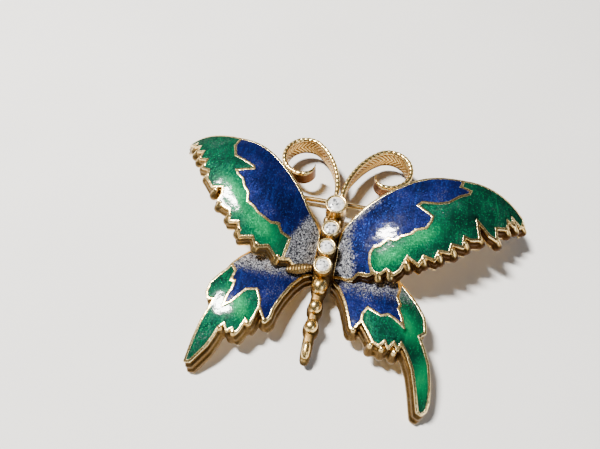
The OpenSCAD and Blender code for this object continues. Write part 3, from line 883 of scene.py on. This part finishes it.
def brilliant(r, girdle_z, table_z, base_z):
    """Round brilliant: table, stars, kites, upper girdle facets and pavilion mains."""
    points = corners(8, 0.56 * r, table_z - 0.02)
    points += corners(8, 0.8 * r, girdle_z + 0.5 * (table_z - girdle_z), 0.5)
    points += corners(16, r, girdle_z)
    points += corners(16, r, girdle_z - 0.06)
    points += corners(8, 0.42 * r, base_z + 0.35 * (girdle_z - base_z), 0.5)
    points += [(0.0, 0.0, base_z)]
    points += corners(8, 0.3 * r, table_z, 0.5)
    points += [(0.0, 0.0, table_z)]
    # where each of these starts in the list
    table, kite, girdle, lower, pavilion, culet, star, centre = 0, 8, 16, 32, 48, 56, 57, 65
    faces = []
    for k in range(8):
        j, i = (k + 1) % 8, (k + 7) % 8
        faces.append((table + k, star + k, star + i))
        faces.append((table + k, table + j, star + k))
        faces.append((centre, star + i, star + k))
    for k in range(8):
        j = (k + 1) % 8
        g = girdle + 2 * k
        after = girdle + (2 * k + 2) % 16
        faces.append((table + k, kite + k, table + j))
        faces.append((table + j, kite + k, after))
        faces.append((table + j, after, kite + j))
        faces.append((kite + k, g, g + 1))
        faces.append((kite + k, g + 1, after))
    for k in range(16):
        j = (k + 1) % 16
        faces.append((girdle + k, lower + k, lower + j, girdle + j))
    for k in range(8):
        j = (k + 1) % 8
        a = lower + 2 * k
        b = a + 1
        c = lower + (2 * k + 2) % 16
        faces.append((pavilion + k, b, a))
        faces.append((pavilion + k, c, b))
        faces.append((culet, pavilion + j, c, pavilion + k))
    return np.array(points), faces


def build_stones():
    for i, name in enumerate(STONE_NAMES):
        r = CUP_R[i] - CUP_WALL + 0.04
        top = STONE_Z[i]
        points, faces = brilliant(r, top - 0.14, top + 0.12, top - 1.12)
        turn = 0.3 * i + 0.2
        c, s = math.cos(turn), math.sin(turn)
        points = points @ np.array([[c, s, 0.0], [-s, c, 0.0], [0.0, 0.0, 1.0]])
        points = points + np.array([0.0, STONE_Y[i], 0.0])
        piece = make_piece(name + "_cut", points, faces, STONE, "brooch", name, smooth=False)
        face_outwards(piece.data)
        facet_reflection = piece.data.attributes.new("facet_reflection", "FLOAT", "FACE")
        for polygon in piece.data.polygons:
            # each facet gets a painted reflection, from dark to white
            facet_reflection.data[polygon.index].value = random.choice((0.1, 0.55, 0.8, 0.95, 1.0, 1.0))


# ---------------------------------------------------------------- abdomen

# The abdomen is drawn on a level keel, which then slopes down towards the tail.
KEEL_SLOPE = math.radians(11.0)
KEEL_START = -12.0
KEEL_Z = 4.5
# Place, half width, underside and top of the keel's sections
KEEL_SECTIONS = (
    (-12.0, 1.1, -1.6, 0.0), (-13.3, 1.25, -1.7, -0.3), (-14.7, 0.95, -1.7, -0.35),
    (-16.1, 1.05, -1.7, -0.35), (-17.4, 0.85, -1.65, -0.35), (-18.8, 0.92, -1.6, -0.35),
    (-20.2, 0.85, -1.5, -0.35), (-21.5, 0.85, -1.4, -0.3), (-23.2, 0.8, -1.25, -0.25),
    (-24.1, 0.7, -1.15, -0.3), (-24.5, 0.5, -1.05, -0.4), (-24.65, 0.25, -0.95, -0.55))
# Place and radius of the three beads
BEADS = ((-12.9, 1.2), (-16.0, 1.0), (-18.9, 0.98))
# Place and half width of the sections of the bar behind the beads
BAR_SECTIONS = (
    (-21.2, 0.15), (-21.35, 0.4), (-21.7, 0.55), (-22.5, 0.6), (-23.2, 0.55), (-23.55, 0.4),
    (-23.7, 0.15))


def on_keel(points):
    """Moves points drawn on a level keel to the sloping one."""
    points = np.array(points, float)
    y = points[:, 1] - KEEL_START
    z = points[:, 2].copy()
    points[:, 1] = KEEL_START + y * math.cos(KEEL_SLOPE) - z * math.sin(KEEL_SLOPE)
    points[:, 2] = KEEL_Z + y * math.sin(KEEL_SLOPE) + z * math.cos(KEEL_SLOPE)
    return points


def build_root_lobe():
    """Ribbed lobe that fills the corner between the left wings and the thorax."""
    shells = []
    for k in range(9):
        t = k / 8
        half = 0.35 + 0.55 * math.sin(math.pi * (0.12 + 0.75 * t))
        centre = (-1.9 - 3.3 * t, -10.2 - 1.2 * t, 4.2 + 0.45 * t)
        shells.append(ellipsoid(centre, (0.4, half, 0.55), 24))
    points, faces = joined(shells)
    mesh = fused(points, faces, 0.07)
    points, edges = mesh_arrays(mesh)
    points = relax(points, edges, np.full(len(points), 0.5), 4)
    # painted shade: the whole lobe is darkened, as it sits in the corner between wings and thorax
    marks = {"soil_and_shade": np.full(len(points), 0.72)}
    finish_cast("root_lobe_left", mesh, points, GOLD, "brooch", [], marks, 0.6)


def build_abdomen():
    """Flat keel with three round beads, swellings beside each bead and a bar behind them."""
    shells = [tube_of_sections([rounded_section(*s, power=2.8) for s in KEEL_SECTIONS])]
    for y, r in BEADS:
        shells.append(ellipsoid((0.0, y, 0.02), (r, 1.08 * r, r)))
        for side in (-1, 1):
            shells.append(ellipsoid((0.45 * side, y - 0.6, -1.0), (0.78, 1.4, 0.62)))
    shells.append(tube_of_sections([
        rounded_section(y, half, -0.6, 1.1 * half, power=2.2) for y, half in BAR_SECTIONS]))
    points, faces = joined(shells)
    mesh = fused(on_keel(points), faces, 0.06)
    points, edges = mesh_arrays(mesh)
    points = relax(points, edges, np.full(len(points), 0.4), 2)
    # painted shade: points below the sloping keel's top are darkened, so the raised beads stay pale
    level = KEEL_Z + (points[:, 1] - KEEL_START) * math.tan(KEEL_SLOPE)
    marks = {"soil_and_shade": 0.85 * (1.0 - smoothstep(points[:, 2] - level, -0.55, 0.3))}
    finish_cast("abdomen_casting", mesh, points, GOLD, "brooch", ["abdomen"], marks, 0.6)


# ---------------------------------------------------------------- antennae

# Heights of the ribbon's upper edge, and of its lower edge away from the head
RIBBON_TOP = 5.6
RIBBON_LOW = 1.6
# Radii of the roped top edge and of the rolled lower edge, and half the thickness between
ROPE_R = 0.4
FOOT_R = 0.27
WEB_HALF = 0.22
# Lengths along the ribbon of one strand of the rope and of one line of the hatching
STRAND_L = 0.85
HATCH_L = 0.7
HATCH_DEPTH = 0.13
# Circles of the ribbon's middle line in plan: the stalk, the hook and the curl inside it
STALK_CENTRE, STALK_R = (13.6, 2.8), 13.1
HOOK_CENTRE, HOOK_R = (7.3, 9.7), 3.7
CURL_R = 2.1


def arc(centre, r, start, end, steps):
    """Points on a circle in plan, with the angles in degrees."""
    turn = np.radians(np.linspace(start, end, steps))
    return np.column_stack([centre[0] + r * np.cos(turn), centre[1] + r * np.sin(turn)])


def antenna_line():
    """Middle line of a ribbon, from under the head to the end of the curl, in plan."""
    curl_centre = (HOOK_CENTRE[0], HOOK_CENTRE[1] - HOOK_R + CURL_R)
    rough = np.concatenate([
        arc(STALK_CENTRE, STALK_R, 182, 136, 30),
        arc(HOOK_CENTRE, HOOK_R, 124, -84, 60),
        arc(curl_centre, CURL_R, -100, -190, 24)])
    for _ in range(3):
        rough[1:-1] += 0.5 * (0.5 * (rough[:-2] + rough[2:]) - rough[1:-1])
    gone = np.concatenate([[0.0], np.cumsum(np.linalg.norm(np.diff(rough, axis=0), axis=1))])
    step = 0.12
    want = np.linspace(0.0, gone[-1], int(gone[-1] / step))
    line = np.column_stack([np.interp(want, gone, rough[:, k]) for k in range(2)])
    return line, want


def ribbon_section(y, gone, left):
    """Outline across the ribbon as (sideways, height), and the painted shade and soil at each of its
    points.

    gone and left are the lengths from the head and to the tip. Minus is the hatched side.
    """
    taper = min(1.0, 0.12 + left / 3.6)
    rope_r, foot_r, web = ROPE_R * taper, FOOT_R * taper, WEB_HALF * taper
    low = RIBBON_LOW + max(0.0, min(2.0, 2.0 - (y - 2.0) * 0.3)) + 0.5 * max(0.0, 1.0 - left / 3.0)
    rope_z = RIBBON_TOP - rope_r - 0.35 * max(0.0, 1.0 - left / 2.5)
    foot_z = low + foot_r
    start, end = rope_z - 0.75 * rope_r, foot_z + 0.75 * foot_r
    ring = []
    # over the roped edge, from the hatched face to the plain one
    for k in range(15):
        a = math.radians(-55.0 + 290.0 * k / 14)
        twist = abs(math.sin(math.pi * gone / STRAND_L + 0.9 * a))
        r = rope_r * (0.86 + 0.2 * twist ** 0.7)
        ring.append((-r * math.cos(a), rope_z + r * math.sin(a)))
    for k in range(1, 8):
        ring.append((web, start + (end - start) * k / 8))
    for k in range(8):
        a = math.radians(60.0 - 300.0 * k / 7)
        ring.append((foot_r * math.cos(a), foot_z + foot_r * math.sin(a)))
    rows = 18
    for k in range(1, rows):
        z = end + (start - end) * k / rows
        phase = math.pi * (gone / HATCH_L + abs(z - 0.5 * (start + end)) / 0.8)
        ring.append((-web - HATCH_DEPTH * taper * abs(math.sin(phase)), z))
    # painted shade: the faces and the hatching's grooves are dark, the roped top stays pale but for the
    # gaps between its strands
    soil_and_shade = []
    gap = 1.0 - abs(math.sin(math.pi * gone / STRAND_L + 0.9 * math.radians(60.0)))
    for u, z in ring:
        in_groove = 1.0 - min(1.0, (abs(u) - web) / (0.1 * taper)) if u < 0 else 0.75
        on_rope = min(1.0, max(0.0, (z - rope_z + 0.5 * rope_r) / (0.5 * rope_r)))
        soil_and_shade.append((1.0 - on_rope) * (0.35 + 0.65 * in_groove) + on_rope * 0.7 * gap ** 3)
    return ring, soil_and_shade


def build_antenna(side, word):
    """Ribbon on edge with a roped top edge, a hatched inner face and a rolled lower edge."""
    line, gone = antenna_line()
    along = np.gradient(line, axis=0)
    along /= np.linalg.norm(along, axis=1)[:, None]
    sections = []
    soil_and_shade = []
    for (x, y), (dx, dy), s in zip(line, along, gone):
        ring, ring_soil_and_shade = ribbon_section(y, s, gone[-1] - s)
        sections.append(np.array([(side * (x - u * dy), y + u * dx, z) for u, z in ring]))
        soil_and_shade += ring_soil_and_shade
    points, faces = tube_of_sections(sections)
    if side > 0:
        faces = [tuple(reversed(f)) for f in faces]
    name = "antenna_" + word
    piece = make_piece(name + "_ribbon", points, faces, ANTENNA_GOLD, "brooch", name)
    set_attribute(piece.data, "soil_and_shade", soil_and_shade)


# ---------------------------------------------------------------- pin and catch

# The stem's hinge and the radius of its wire
HINGE = np.array([-14.0, 3.6, 1.5])
PIN_R = 0.45
# How far from the hinge the wire starts to taper, and the length of its point
STRAIGHT_L = 25.8
POINT_L = 7.4
# Radius of the hole for the rivet
BORE_R = 0.52


def stem_wire():
    """Straight wire with a collar beside the hinge and a long point."""
    point = [(PIN_R - (PIN_R - 0.06) * t, STRAIGHT_L + POINT_L * t) for t in np.linspace(0.0, 1.0, 9)]
    collar = [(0.72, 1.85), (0.75, 2.0), (0.75, 2.45), (0.7, 2.6)]
    wire = [(PIN_R, h) for h in (2.75, 9.0, 16.0, 23.0)]
    profile = [(0.0, 0.7), (PIN_R, 0.7), (PIN_R, 1.7)] + collar + wire + point
    profile.append((0.0, STRAIGHT_L + POINT_L + 0.03))
    return lathe(profile, HINGE, 32, "x")


def stem_knuckle():
    """Eye of the stem, which turns on the rivet."""
    outline = (
        (BORE_R, -0.36), (BORE_R + 0.1, -0.44), (0.95, -0.44), (1.04, -0.36), (1.05, 0.0),
        (1.04, 0.36), (0.95, 0.44), (BORE_R + 0.1, 0.44), (BORE_R, 0.36))
    steps = 48
    count = len(outline)
    points, faces = [], []
    for k in range(steps):
        a = math.tau * k / steps
        points += [(r * math.cos(a), h, r * math.sin(a)) for r, h in outline]
    for k in range(steps):
        j = (k + 1) % steps
        for q in range(count):
            w = (q + 1) % count
            faces.append((k * count + q, k * count + w, j * count + w, j * count + q))
    return np.array(points) + HINGE, faces


def build_pin():
    """The stem's wire and knuckle, as one piece that swings on the hinge."""
    points, faces = joined([stem_wire(), stem_knuckle()])
    piece = make_piece("pin_stem_wire", points, faces, WIRE, "stem", "pin_stem")
    face_outwards(piece.data)
    # painted shade: the underside of the wire is darker
    set_attribute(piece.data, "soil_and_shade", 0.6 * smoothstep(HINGE[2] - points[:, 2], 0.1, 0.45))


def build_fitting(node, body, voxel, passes, keep):
    """A CAD fitting with its edges rounded as on a stamped part."""
    points, faces = node_shell(node)
    mesh = fused(points, faces, voxel)
    points, edges = mesh_arrays(mesh)
    points = relax(points, edges, np.full(len(points), 0.4), passes)
    # painted shade and soil: some everywhere, darker towards the top
    marks = {"soil_and_shade": 0.3 + 0.3 * smoothstep(points[:, 2], 2.0, 5.0)}
    finish_cast(node + "_part", mesh, points, FITTING, body, [node], marks, keep)


def build_fittings():
    build_fitting("hinge_bracket", "brooch", 0.06, 3, 0.5)
    build_fitting("catch_bracket", "brooch", 0.05, 2, 0.5)
    build_fitting("safety_roller", "roller", 0.04, 2, 0.6)
    build_fitting("hinge_rivet", "brooch", 0.04, 3, 0.6)


# ---------------------------------------------------------------- stage

def build_floor():
    half = 0.9
    mesh = bpy.data.meshes.new("floor")
    square = [(-half, -half, 0), (half, -half, 0), (half, half, 0), (-half, half, 0)]
    mesh.from_pydata(square, [], [(0, 1, 2, 3)])
    floor = bpy.data.objects.new("floor", mesh)
    bpy.context.scene.collection.objects.link(floor)
    mesh.materials.append(floor_material())


def area_light(name, direction, distance, size, power, colour):
    """Elliptical light in a direction from the origin, facing it."""
    data = bpy.data.lights.new(name, "AREA")
    data.shape = "ELLIPSE"
    data.size, data.size_y = size
    data.energy = power
    data.color = colour
    light = bpy.data.objects.new(name, data)
    way = Vector(direction).normalized()
    light.location = way * distance
    light.rotation_mode = "QUATERNION"
    light.rotation_quaternion = way.to_track_quat("Z", "Y")
    bpy.context.scene.collection.objects.link(light)


def build_lights():
    """A bright key above on the left, a weak fill from the right and a dim grey room."""
    area_light("key", (-0.43, 0.12, 0.89), 0.5, (0.05, 0.12), 9.0, (1.0, 0.97, 0.92))
    area_light("fill", (0.75, -0.55, 0.45), 0.6, (0.3, 0.3), 1.0, (0.93, 0.96, 1.0))
    world = bpy.data.worlds.new("studio")
    bpy.context.scene.world = world
    world.use_nodes = True
    n = Nodes(world.node_tree)
    back = world.node_tree.nodes["Background"]
    coord = n.add("ShaderNodeTexCoord")
    split = n.add("ShaderNodeSeparateXYZ")
    n.join(coord.outputs["Generated"], split.inputs[0])
    height = n.ramp(split.outputs[2], 0.0, 0.75)
    n.join(n.mix(height, (0.36, 0.36, 0.38), (0.12, 0.125, 0.14)), back.inputs["Color"])
    back.inputs["Strength"].default_value = 0.45


def build_camera():
    """The photo's camera, above the brooch on the tail's side."""
    data = bpy.data.cameras.new("camera")
    data.sensor_width = 36.0
    data.lens = 26.4
    data.clip_start = 0.001
    data.clip_end = 5.0
    camera = bpy.data.objects.new("camera", data)
    # the camera's own axes: right and up in the picture, and straight back from it
    right = Vector((0.9723, 0.2293, -0.046))
    up = Vector((-0.1802, 0.8597, 0.478))
    back = Vector((0.1492, -0.4565, 0.8771))
    turn = Matrix((right, up, back)).transposed().to_4x4()
    place = Vector((5.39, -35.86 + HEAD[1], 67.04)) * MM
    camera.matrix_world = Matrix.Translation(place) @ turn
    bpy.context.scene.collection.objects.link(camera)
    bpy.context.scene.camera = camera


build_wings()
build_enamel()
build_thorax()
build_stones()
build_root_lobe()
build_abdomen()
build_antenna(-1, "left")
build_antenna(1, "right")
build_pin()
build_fittings()
build_floor()
build_lights()
build_camera()
